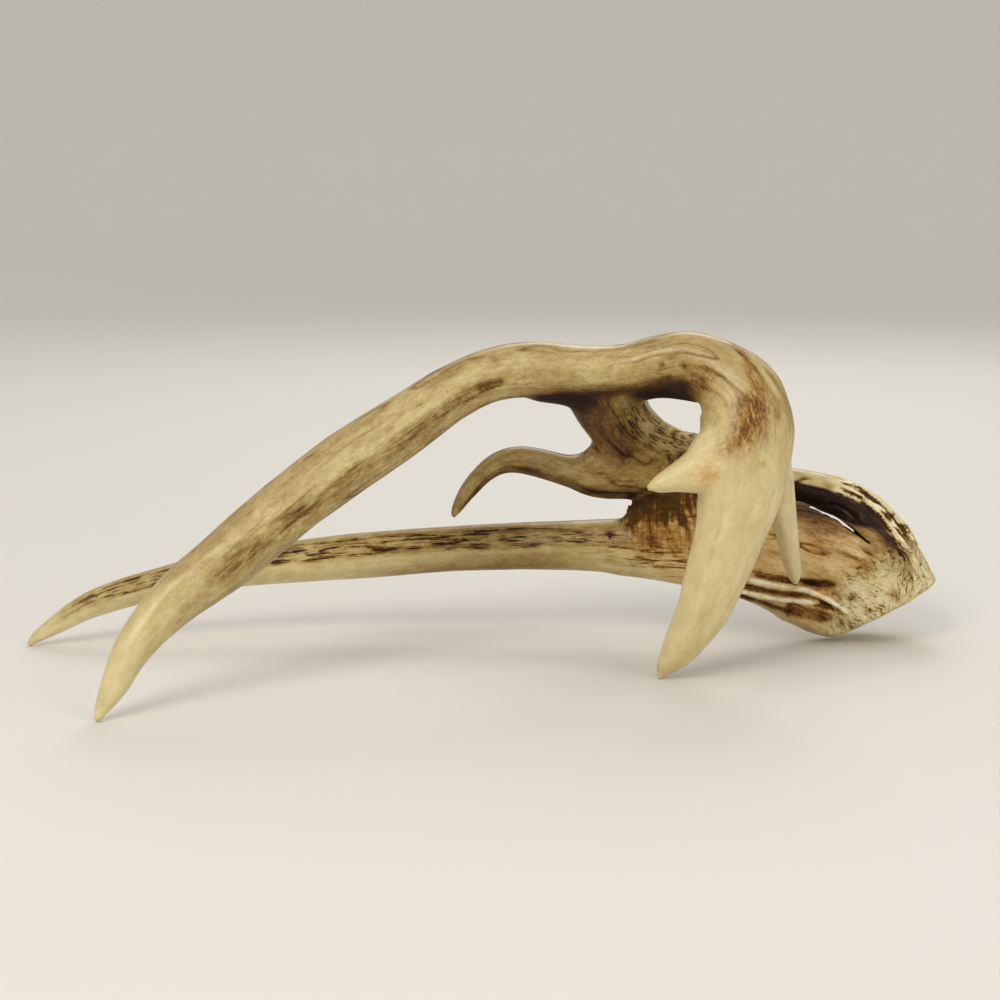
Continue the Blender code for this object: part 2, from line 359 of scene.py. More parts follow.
def awayFrom(points, line):
    # distance to a strand, and how far along it from 0 to 1
    near, where = [], []
    for start in range(0, len(points), skin["pointsAtOnce"]):
        some = points[start:start + skin["pointsAtOnce"]]
        square = (some ** 2).sum(1)[:, None] + (line ** 2).sum(1) - 2 * some @ line.T
        nearest = square.argmin(1)
        near.append(np.sqrt(np.maximum(square[np.arange(len(some)), nearest], 0)))
        where.append(nearest / (len(line) - 1))
    return np.concatenate(near), np.concatenate(where)


def spot(points, name, along, turn, radius):
    centre = settle(onBranch(name, along, turn)[None])
    return np.exp(-((points - centre) ** 2).sum(1) / radius ** 2)


relief = {
    "swell": 0.35,        # slow rise and fall of the bone
    "flute": 0.28,        # long shallow flutes
    "pearl": 1.3,         # pearls by the burr
    "pearlEnds": [(0, 0.1), (62, 0.08), (86, -0.4)],  # mm along the beam, noise that makes a pearl there
    "webRough": 1.6,      # torn fibres on the foot web
    "webMiddle": (70, 2.2),
    "burrPit": 1.1,
    "burrReach": (17.6, 0.66, 23.7, 27),  # mm from the saw: at the low edge, per mm of rise, from, at most
    "rimChip": 1.1,
    "rimBand": (1.2, 5, 0.8),
    "sponge": 0.9,
    "spongeSize": (24, 19),
    "ridge": 1.5,         # ivory ridges under the blade
    "ridgeWidth": (1.05, 0.4),
    "groove": 1.2,
    "grooveWidth": (1.6, 0.6),
    "furrowDepth": 1.0,
    "furrowWidth": 3.6,
    "tineRidgeHeight": 0.6,
    "tineRidgeWidth": 3.5,
    "pitDepth": 1.3,
    "pitWidth": 1.7,
    "footLineWidth": [(0, 3.5), (0.5, 5), (1, 4)],
    "rowDepth": 0.35,     # the dark rows on the lower tine lie a little lower
    "stainWidth": [(0, 1.5), (0.4, 2.6), (0.6, 7.5), (0.8, 8), (1, 4.5)],
    "stainDepth": [(0, 0.5), (0.5, 0.85), (1, 1)],
    "channelDepth": {   # mm from the branch's first station, depth there
        "rearBeam": [(0, 0.8), (70, 1.0), (100, 0.8), (150, 0.45), (190, 0.35), (240, 0.12)],
        "lowerTine": [(0, 0.5), (60, 0.6), (120, 0.35), (160, 0.35), (230, 0.35), (330, 0.3), (400, 0.1)],
        "shortTine": [(0, 0.45), (30, 0.3), (110, 0.1), (150, 0)],
        "frontBeam": [(0, 0), (60, 0.1), (150, 0.2), (300, 0.16), (345, 0.22), (400, 0.08), (500, 0)],
        "spur": [(0, 0.05), (40, 0)],
        "innerTine": [(0, 0.12), (80, 0.03)],
    },
    # marks lie on a branch: mm along it, degrees round it from the front
    "ivoryRidges": [
        ("lowerTine", [(64, 48), (46, 46), (32, 36), (8, 38)]),
        ("lowerTine", [(68, 70), (45, 64), (23, 43)]),
    ],
    "darkGrooves": [
        ("lowerTine", [(62, 37), (48, 36), (20, 5)]),
        ("lowerTine", [(66, 60), (46, 57), (32, 46), (9, 42)]),
        ("lowerTine", [(72, 79), (48, 76), (15, 61)]),
        ("lowerTine", [(40, 67), (13, 55)]),
    ],
    "tineFurrow": ("frontBeam", [(235, -15), (150, -20), (75, -20)]),
    "tinePit": ("frontBeam", [(235, -15), (226, -15)]),
    "tineRidge": ("frontBeam", [(230, 15), (195, 0), (85, 5)]),
    "footLines": ("lowerTine", [(163, -36), (145, -25), (105, 20), (66, 55)]),
    "stainTrail": ("frontBeam", [(342, 80), (353, 48), (370, 8), (385, -42)]),
    "smudges": [  # branch, mm along, degrees round, radius, how dark
        ("lowerTine", 31, 17, 5, 0.45), ("lowerTine", 23, 11, 5, 0.45), ("lowerTine", 10, 11, 2.4, 1.1),
        ("lowerTine", 8, 54, 1.7, 0.9), ("lowerTine", 10, -40, 4, 0.5), ("lowerTine", 11, -68, 5, 0.6),
        ("lowerTine", 35, -68, 8, 0.3), ("rearBeam", 22, -4, 3, 0.6),
        ("frontBeam", 317, -3, 1.3, 0.6), ("frontBeam", 330, -14, 1.5, 0.8), ("frontBeam", 390, 21, 1.5, 0.5),
    ],
    "ochreSpots": [
        ("lowerTine", 28, 50, 6, 0.9), ("lowerTine", 24, 35, 5, 0.8), ("lowerTine", 31, 66, 5, 0.8),
        ("lowerTine", 15, 45, 4, 0.8), ("lowerTine", 116, -45, 8, 0.8), ("lowerTine", 102, -42, 8, 0.7),
        ("lowerTine", 130, -45, 5, 0.6), ("lowerTine", 35, -50, 7, 0.6), ("lowerTine", 10, -40, 6, 0.7),
        ("spur", 22, 15, 6, 0.8),
    ],
}


def readSkin(points):
    # how the points lie along and round each branch, and which branch each belongs to
    lie = {name: around(points, tube) for name, tube in tubes.items()}
    gaps = np.array([place[0] for place in lie.values()])
    share = np.exp((gaps.min(0) - gaps) / skin["toneFillet"])
    share /= share.sum(0)
    read = {}
    for part, (name, (_, length, across, deep)) in zip(share, lie.items()):
        read[name] = {
            "share": part, "length": length, "turn": np.degrees(np.arctan2(across, -deep)),
            "grain": np.stack([length, across, deep], axis=1),
        }
    read["web"] = {name: np.exp(-np.maximum(around(points, tube)[0], 0) / skin["toneFillet"])
                   for name, tube in webTubes.items()}
    return read


# where on a branch something lies, by mm along it or degrees round it: from, to and softness of a stretch,
# or the two values between which a zone fades in
stretches = {
    "pearlSide": ("turn", -200, -21, 7), "pearlEnd": ("length", 76, 94),
    "rowSide": ("turn", -62, -6, 9), "rowLength": ("length", 128, 395, 18),
    "bladeSide": ("turn", -95, 60, 12), "bladeEnd": ("length", 105, 150),
    "hollowSide": ("turn", -20, 172, 6), "hollowLength": ("length", 30, 118, 9),
    "lowHollowSide": ("turn", -140, -68, 9), "lowHollowLength": ("length", 14, 76, 8),
    "trunkLength": ("length", 176, 270, 14), "trunkSide": ("turn", -26, 4),
    "underLength": ("length", 256, 342, 12), "shadedSide": ("turn", 35, 150, 20),
    "shadedLength": ("length", 150, 245, 25), "shortUnderside": ("turn", 25, 150, 20),
    "shortTip": ("length", 95, 140), "innerSide": ("turn", -150, -20, 25),
    "shoulderLength": ("length", 300, 350, 15), "lowBack": ("turn", -150, -58, 12),
    "lowBackLength": ("length", 140, 400, 20), "leftEnd": ("length", 235, 330),
    "leftStart": ("length", 25, 70), "leftTop": ("turn", 45, 170, 25), "leftUnder": ("turn", -150, -62, 18),
    "bladeToneSide": ("turn", -85, 70, 15), "bladeToneEnd": ("length", 75, 130),
    "leftTip": ("length", 25, 75), "frontTip": ("length", 368, 410), "lowTip": ("length", 380, 420),
    "smoothTopSide": ("turn", -24, -14), "smoothTopLength": ("length", 84, 150, 8),
    "rimSide": ("turn", -6, 8, 5), "rimLength": ("length", 100, 380, 20),
    "trunkRowSide": ("turn", -70, 6, 8), "trunkRowLength": ("length", 160, 224, 8),
    "bellySide": ("turn", 5, 100, 14), "bellyStart": ("length", 195, 240),
    "nearBellySide": ("turn", 5, 60, 10), "nearBellyLength": ("length", 70, 150, 20),
    "hairSide": ("turn", -64, -7, 8), "hairStart": ("length", 150, 185),
    "bladeHairSide": ("turn", -100, 40, 20), "bladeHairEnd": ("length", 90, 140),
    "hairEnd": ("length", 385, 415), "streakSide": ("turn", -70, -5, 18),
    "streakEnd": ("length", 300, 350), "streakStart": ("length", 30, 110),
}


def within(branch, name):
    measure, *edges = stretches[name]
    if len(edges) == 3:
        return band(branch[measure], *edges)
    return smoothStep(*edges, branch[measure])


def channels(points, read, height, furrow, crest, zones):
    # lengthwise channels and flutes on every branch, and the pearls by the burr
    for seed, (name, depths) in enumerate(relief["channelDepth"].items()):
        branch = read[name]
        grain = branch["grain"] + 40 * seed
        wander = noise(grain / (22, 9, 9), 20 + seed, 2)
        lines = noise(grain / (24, 3, 3) + 0.6 * wander[:, None], 30 + seed)
        reach = smoothStep(-0.25, 0.35, noise(grain / (30, 6, 6), 40 + seed, 2))
        cut = (1 - smoothStep(0.03, 0.26, np.abs(lines))) * reach
        depth = profile(branch["length"], depths)
        if name == "lowerTine":
            depth = depth * np.clip(0.12 + zones["tineRow"] + zones["blade"], 0, 1)
        flute = noise(grain / (70, 4.5, 4.5), 50 + seed)
        height += branch["share"] * (relief["flute"] * flute - depth * cut)
        furrow += branch["share"] * cut * np.clip(depth / 0.5, 0, 1)
        if name == "rearBeam":
            rows = noise(grain / (14, 2.3, 2.3) + 0.5 * wander[:, None], 61, 2)
            lowest = profile(branch["length"], relief["pearlEnds"])
            pearls = smoothStep(lowest, lowest + 0.16, rows)
            height += zones["pearlRows"] * relief["pearl"] * (pearls - 0.4)
            crest += 0.6 * zones["pearlRows"] * pearls
            furrow += 0.6 * zones["pearlRows"] * (1 - pearls)
            zones["pearls"] = zones["pearlRows"] * pearls
            zones["pearlGaps"] = zones["pearlRows"] * (1 - pearls)


def tornWeb(points, height, furrow, crest, web):
    # upright torn fibres on the web at the foot of the trunk
    lean = points[:, 0] + 0.35 * points[:, 2]
    torn = noise(np.stack([lean / 2.3, points[:, 1] / 3, points[:, 2] / 6.5], axis=1), 71, 3)
    height += relief["webRough"] * web * torn
    furrow += 0.9 * web * (1 - smoothStep(-0.4, 0.1, torn))
    crest += 0.45 * web * smoothStep(0.3, 0.6, torn)


def wornBurr(points, read, height, furrow, toSaw, zones):
    # pits and cracks drawn out away from the saw, chips on the rim, and the spongy middle of the cut
    burr, rear, front = zones["burr"], read["rearBeam"], read["frontBeam"]
    axis = -np.array(sawnFace["normal"])
    sideways = points - np.outer(points @ axis, axis) * 0.8
    pits = noise(sideways / 2.0, 81, 2)
    rays = 1 - smoothStep(0.02, 0.15, np.abs(noise(sideways / 2.6, 83)))
    rays *= smoothStep(-0.1, 0.3, noise(points / 6, 86)) * smoothStep(2, 8, toSaw)
    bumps = 0.4 * smoothStep(-0.1, 0.5, pits) - 0.5 * smoothStep(0.1, 0.5, -pits) - 0.7 * rays
    height += relief["burrPit"] * burr * bumps
    furrow *= 1 - 0.7 * burr
    furrow += burr * (0.25 * smoothStep(0.25, 0.5, -pits) + 0.75 * rays)
    rim = band(toSaw, *relief["rimBand"]) * (1 - front["share"])
    height -= rim * relief["rimChip"] * smoothStep(-0.1, 0.6, noise(points / 5, 84, 2))
    zones["sawn"] = 1 - smoothStep(0.5, 1.4, toSaw)
    sponge = noise(points / 1.9, 85, 2)
    wide, deep = relief["spongeSize"]
    offset = np.maximum(np.abs(rear["grain"][:, 1]) / wide, np.abs(rear["grain"][:, 2]) / deep)
    zones["middle"] = 1 - smoothStep(0.55, 0.85, offset)
    height -= zones["sawn"] * zones["middle"] * relief["sponge"] * smoothStep(0.0, 0.5, -sponge)


def marks(points, height, furrow, crest, zones):
    # ridges, grooves and furrows laid along the branches
    zones["ridges"] = 0
    least, more = relief["ridgeWidth"]
    for mark in relief["ivoryRidges"]:
        off, part = awayFrom(points, strand(*mark))
        fade = band(part, 0.04, 0.97, 0.04)
        wide = least + more * noise(points / 5, 91)
        ridge = np.exp(-(off / wide) ** 2) * fade
        height += relief["ridge"] * ridge
        crest += 2.4 * ridge
        furrow *= 1 - np.clip(2 * ridge, 0, 1)
        zones["ridges"] = np.maximum(zones["ridges"], np.clip(1.6 * ridge, 0, 1))
    zones["grooves"] = 0
    least, more = relief["grooveWidth"]
    for mark in relief["darkGrooves"]:
        off, part = awayFrom(points, strand(*mark))
        cut = np.exp(-(off / (least + more * noise(points / 4, 93))) ** 2) * band(part, 0.03, 0.97, 0.05)
        height -= relief["groove"] * cut
        furrow += 1.3 * cut
        zones["grooves"] = np.maximum(zones["grooves"], cut)
    off, part = awayFrom(points, strand(*relief["footLines"]))
    width = profile(part, relief["footLineWidth"])
    zones["footLines"] = np.exp(-(off / width) ** 2) * band(part, 0.03, 1.1, 0.06)
    off, part = awayFrom(points, strand(*relief["tineFurrow"]))
    tineFurrow = np.exp(-(off / relief["furrowWidth"]) ** 2) * band(part, 0.02, 0.97, 0.08)
    height -= relief["furrowDepth"] * tineFurrow * (0.8 + 0.4 * noise(points / 9, 95))
    zones["tineFurrow"] = tineFurrow
    off, part = awayFrom(points, strand(*relief["tineRidge"]))
    zones["tineRidge"] = np.exp(-(off / relief["tineRidgeWidth"]) ** 2) * band(part, 0.05, 0.95, 0.08)
    height += relief["tineRidgeHeight"] * zones["tineRidge"]
    off, part = awayFrom(points, strand(*relief["tinePit"], 0.5))
    pit = np.exp(-(off / relief["pitWidth"]) ** 2)
    height -= relief["pitDepth"] * pit
    furrow += 1.2 * pit


def makeRelief(points):
    # height over the skin, and the masks that the finish reads
    read = readSkin(points)
    rear, lower, front = read["rearBeam"], read["lowerTine"], read["frontBeam"]
    height = relief["swell"] * noise(points / (26, 12, 12), 3, 2)
    furrow = np.zeros(len(points))
    crest = np.zeros(len(points))

    toSaw = -(points - np.array(sawnFace["centre"])) @ np.array(sawnFace["normal"])
    lowEdge, perRise, start, most = relief["burrReach"]
    burrEdge = np.minimum(lowEdge + perRise * (points[:, 2] - start), most)
    zones = {
        "burr": smoothStep(-5, 4, burrEdge - toSaw) * smoothStep(0.4, 2, toSaw) * (1 - front["share"]),
        "pearlRows": (within(rear, "pearlSide") * (1 - within(rear, "pearlEnd")) * rear["share"]
                      * smoothStep(14, 24, toSaw)),
        "tineRow": within(lower, "rowSide") * within(lower, "rowLength"),
        "blade": within(lower, "bladeSide") * (1 - within(lower, "bladeEnd")),
    }
    channels(points, read, height, furrow, crest, zones)
    middle, steep = relief["webMiddle"]
    zones["web"] = (read["web"]["foot"] * (1 - smoothStep(48, 62, np.abs(points[:, 2] - middle) * steep))
                    * (1 - 0.9 * front["share"]))
    tornWeb(points, height, furrow, crest, zones["web"])
    wornBurr(points, read, height, furrow, toSaw, zones)
    marks(points, height, furrow, crest, zones)
    height -= relief["rowDepth"] * zones["tineRow"] * lower["share"]
    zones["slitSide"] = 1 - smoothStep(0, 2.5, around(points, slitTube)[0])
    height *= 1 - zones["slitSide"]

    masks = finishMasks(points, read, zones)
    masks["furrow"] = np.clip(furrow, 0, 1)
    masks["crest"] = np.clip(crest, 0, 1)
    return height, masks


def spots(points, places):
    return sum(amount * spot(points, *place) for *place, amount in places)


def finishMasks(points, read, zones):
    # how much of each tone lies where, from 0 to 1
    rear, lower, front = read["rearBeam"], read["lowerTine"], read["frontBeam"]
    short, spur, inner = read["shortTine"], read["spur"], read["innerTine"]
    rearShare, lowerShare, frontShare = rear["share"], lower["share"], front["share"]
    ridges, burr, tineFurrow = zones["ridges"], zones["burr"], zones["tineFurrow"]

    # umber and painted shade: dark stain in grooves, pearl gaps, bark and smudges, and painted shade in
    # hollows and on undersides
    # painted shade, partly over dark stain: the inner face of the rear arch, the hollow of the blade under
    # the slit, and the slit's sides
    hollow = 1.3 * within(rear, "hollowSide") * within(rear, "hollowLength") * rearShare
    hollow += 0.9 * lowerShare * within(lower, "lowHollowSide") * within(lower, "lowHollowLength")
    hollow += zones["slitSide"]
    trunk = within(rear, "trunkLength") * within(rear, "trunkSide") * rearShare
    # the web under the front beam: part dark bark, part painted shade, on its underside only
    arch = np.maximum(read["web"]["leftArch"], read["web"]["rightArch"]) * (1 - spur["share"])
    arch *= smoothStep(18, 60, -front["turn"])
    # painted shade on the front beam's underside, over some dark bark
    under = within(front, "underLength") * smoothStep(18, 62, -front["turn"]) * frontShare
    # painted shadow of the beam on the lower tine, strongest on its underside
    shaded = lowerShare * (0.18 + 0.35 * within(lower, "shadedSide")) * within(lower, "shadedLength")
    footWeb = zones["web"] * (0.85 - 0.5 * smoothStep(70, 86, points[:, 0]))
    # the short tine's brown tone, with painted shade on its underside
    shortShade = short["share"] * (0.3 + 0.5 * within(short, "shortUnderside"))
    shortShade *= 1 - within(short, "shortTip")
    lowBack = lowerShare * within(lower, "lowBack") * within(lower, "lowBackLength")
    leftTine = frontShare * (1 - within(front, "leftEnd")) * within(front, "leftStart")
    umber = hollow + 0.4 * trunk + shaded + 0.5 * arch + 0.9 * under + footWeb + shortShade
    umber += 0.3 * inner["share"] * within(inner, "innerSide")
    umber += 0.4 * zones["pearlGaps"] + 0.3 * zones["grooves"] + 0.22 * tineFurrow
    umber += spots(points, relief["smudges"])
    umber += 0.12 * frontShare * within(front, "shoulderLength") + 0.15 * lowBack
    # the left tine: darker tan on top, painted shade along its underside
    umber += leftTine * (0.16 * within(front, "leftTop") + 0.3 * within(front, "leftUnder"))
    umber *= 1 - 0.9 * ridges

    # the stain on the shoulder, and ochre
    off, part = awayFrom(points, strand(*relief["stainTrail"]))
    stain = np.exp(-(off / profile(part, relief["stainWidth"])) ** 2) * profile(part, relief["stainDepth"])
    stain = np.maximum(stain, 0.35 * spot(points, "frontBeam", 342, -26, 7)) * frontShare
    blade = within(lower, "bladeToneSide") * (1 - within(lower, "bladeToneEnd")) * lowerShare * (1 - burr)
    ochre = 0.6 * blade + 0.4 * zones["web"] + 0.7 * stain + 0.4 * trunk + 0.6 * zones["grooves"]
    ochre += spots(points, relief["ochreSpots"])
    ochre *= 1 - ridges

    # cream, the worn and polished bone, with painted highlights along two ridge lines
    tips = frontShare * (1 - within(front, "leftTip")) + frontShare * within(front, "frontTip")
    tips += spur["share"] + 1.3 * inner["share"] + lowerShare * within(lower, "lowTip")
    smoothTop = rearShare * (1 - within(rear, "smoothTopSide")) * within(rear, "smoothTopLength")
    trunkRow = rearShare * within(rear, "trunkRowSide") * within(rear, "trunkRowLength")
    # half of the tine ridge's pale tone is a painted highlight along it
    cream = tips + ridges + 0.5 * zones["tineRidge"] + 1.1 * burr + 0.8 * zones["pearls"]
    cream += 0.95 * blade + 0.7 * smoothTop + 0.3 * trunkRow
    # a pale line along the lower tine where a highlight runs: partly polish, partly painted highlight
    cream += 0.5 * lowerShare * within(lower, "rimSide") * within(lower, "rimLength")
    cream += 0.8 * lowerShare * within(lower, "bellySide") * within(lower, "bellyStart")
    cream += 0.5 * lowerShare * within(lower, "nearBellySide") * within(lower, "nearBellyLength")

    # dark hairlines, and streaks along the grain
    row = within(lower, "hairSide") * within(lower, "hairStart")
    row += within(lower, "bladeHairSide") * (1 - within(lower, "bladeHairEnd")) * 0.15
    row *= lowerShare * (1 - within(lower, "hairEnd")) * (1 - burr)
    row += (0.9 * zones["footLines"] + 0.22 * tineFurrow) * (1 - ridges) + trunkRow
    streak = frontShare * (0.35 + 0.25 * within(front, "streakSide"))
    streak *= (1 - within(front, "streakEnd")) * within(front, "streakStart")
    streak += 0.5 * rearShare * (1 - 0.6 * trunk) * (1 - burr)
    streak += lowerShare * (0.15 + 0.4 * zones["tineRow"] + 0.12 * blade)
    streak += 0.4 * short["share"] + 0.1 * inner["share"] + tineFurrow
    return {
        "umber": np.clip(umber, 0, 1.4), "stain": np.clip(stain, 0, 1), "ochre": np.clip(ochre, 0, 1),
        "cream": np.clip(cream, 0, 1.3), "streak": np.clip(streak, 0, 1), "row": np.clip(row, 0, 1),
        "burr": burr, "sawn": zones["sawn"], "sponge": zones["sawn"] * zones["middle"],
        "bark": np.clip(zones["web"], 0, 1),
    }


def storeMasks(made, masks, read):
    for name, values in masks.items():
        layer = made.data.attributes.new(name, "FLOAT", "POINT")
        layer.data.foreach_set("value", values.astype(np.float32))
    sides = {"grainA": ("rearBeam", "spur", "innerTine"), "grainB": ("frontBeam", "lowerTine", "shortTine")}
    for layerName, names in sides.items():
        shares = np.array([read[name]["share"] for name in names])
        grains = np.array([read[name]["grain"] + 60 * i for i, name in enumerate(names)])
        grain = grains[shares.argmax(0), np.arange(shares.shape[1])]
        layer = made.data.attributes.new(layerName, "FLOAT_VECTOR", "POINT")
        layer.data.foreach_set("vector", grain.astype(np.float32).ravel())
    layer = made.data.attributes.new("grainMix", "FLOAT", "POINT")
    layer.data.foreach_set("value", smoothStep(0.3, 0.7, shares.sum(0)).astype(np.float32))


def carve():
    modify(antler, "SUBSURF", levels=1, subdivision_type="CATMULL_CLARK")
    points = pointsOf(antler)
    step = np.clip(wholeGap(points), -skin["lastFitStep"], skin["lastFitStep"])
    points -= normalsOf(antler) * step[:, None]
    loose = np.abs(wholeGap(points)) > skin["loose"]
    points[loose] = settle(points[loose], rounds=3)
    setPoints(antler, points)
    height = makeRelief(points)[0]
    points = points + normalsOf(antler) * height[:, None]
    proud = (points - np.array(sawnFace["centre"])) @ np.array(sawnFace["normal"])
    setPoints(antler, points - np.outer(np.maximum(proud, 0), sawnFace["normal"]))
    modify(antler, "DECIMATE", ratio=skin["mostTriangles"] / (2 * len(antler.data.polygons)))
    slitCutter = tubeMesh("slitCutter", [slitTube])
    modify(antler, "BOOLEAN", object=slitCutter, operation="DIFFERENCE", solver="MANIFOLD")
    bpy.data.objects.remove(slitCutter)
    points = pointsOf(antler)
    masks = makeRelief(points)[1]
    storeMasks(antler, masks, readSkin(points))
    setPoints(antler, points + np.array(skin["placing"]))
    antler.data.polygons.foreach_set("use_smooth", [True] * len(antler.data.polygons))


carve()
antler.data.calc_loop_triangles()
print("relief carved:", len(antler.data.loop_triangles), "triangles")


class Value:
    # a node's output; an expression on values adds its Math nodes
    def __init__(self, tree, socket=None):
        self.tree = tree
        self.socket = socket

    def node(self, kind, settings=None, inputs=None, output=0):
        made = self.tree.nodes.new("ShaderNode" + kind)
        for name, setting in (settings or {}).items():
            if name == "stops":
                ramp = made.color_ramp.elements
                while len(ramp) < len(setting):
                    ramp.new(0.5)
                for element, (place, colour) in zip(ramp, setting):
                    element.position = place
                    element.color = colour
            else:
                setattr(made, name, setting)
        for name, value in (inputs or {}).items():
            if isinstance(value, Value):
                self.tree.links.new(value.socket, made.inputs[name])
            else:
                made.inputs[name].default_value = value
        return Value(self.tree, made.outputs[output])

    def maths(self, operation, first, second=0.0):
        return self.node("Math", {"operation": operation}, {0: first, 1: second})

    def __add__(self, other):
        return self.maths("ADD", self, other)

    def __radd__(self, other):
        return self.maths("ADD", other, self)

    def __sub__(self, other):
        return self.maths("SUBTRACT", self, other)

    def __rsub__(self, other):
        return self.maths("SUBTRACT", other, self)

    def __mul__(self, other):
        return self.maths("MULTIPLY", self, other)

    def __rmul__(self, other):
        return self.maths("MULTIPLY", other, self)

    def size(self):
        return self.maths("ABSOLUTE", self)

    def between(self, low, high):
        # 0 below low, 1 above high, smooth between
        return self.node("MapRange", {"interpolation_type": "SMOOTHSTEP"},
                         {"Value": self, "From Min": low, "From Max": high})


def tone(red, green, blue):
    # a colour as a paint chart gives it, 0 to 255
    shares = [part / 255 for part in (red, green, blue)]
    return (*[((share + 0.055) / 1.055) ** 2.4 if share > 0.04 else share / 12.92 for share in shares], 1)


finish = {
    "pigment": [  # how the bone darkens with stain and dirt, and with painted shade
        (0.0, tone(240, 232, 202)), (0.16, tone(222, 207, 158)), (0.32, tone(200, 181, 128)),
        (0.46, tone(174, 151, 96)), (0.6, tone(144, 117, 60)), (0.74, tone(108, 76, 26)),
        (0.87, tone(72, 40, 6)), (1.0, tone(30, 14, 2)),
    ],
    "bare": 0.42,  # where clean bone stands on that scale, and what moves it
    "weights": {"cream": 0.16, "umber": 0.44, "streak": 0.05, "cloud": 0.24},
    "grains": {  # noise along the branch: length and width in mm, detail, roughness, shift
        "cloud": (60, 17, 2, 0.55, 3), "mottle": (11, 5.5, 4, 0.55, 11), "fibre": (20, 1.3, 3, 0.6, 23),
        "thread": (7, 0.6, 2, 0.6, 31), "worm": (5, 2.4, 2, 0.6, 41), "fleck": (3, 1.6, 3, 0.55, 47),
        "grit": (1.7, 0.9, 3, 0.65, 61), "hair": (34, 1.6, 1, 0.55, 71), "crack": (12, 1.8, 1, 0.55, 83),
    },
    "barkGrain": (0.0012, 0.002, 0.011),  # metres
    "ochre": tone(240, 188, 100),
    "rust": tone(166, 116, 46),
    "chalk": tone(228, 236, 255),
    "bareRoughness": 0.4,
    "barkRoughness": 0.68,
    "grainBump": 0.4,
    "bumpDepth": 0.6,  # mm
    "polish": 0.6,
    "coatRoughness": 0.3,
    "specular": 0.2,
}


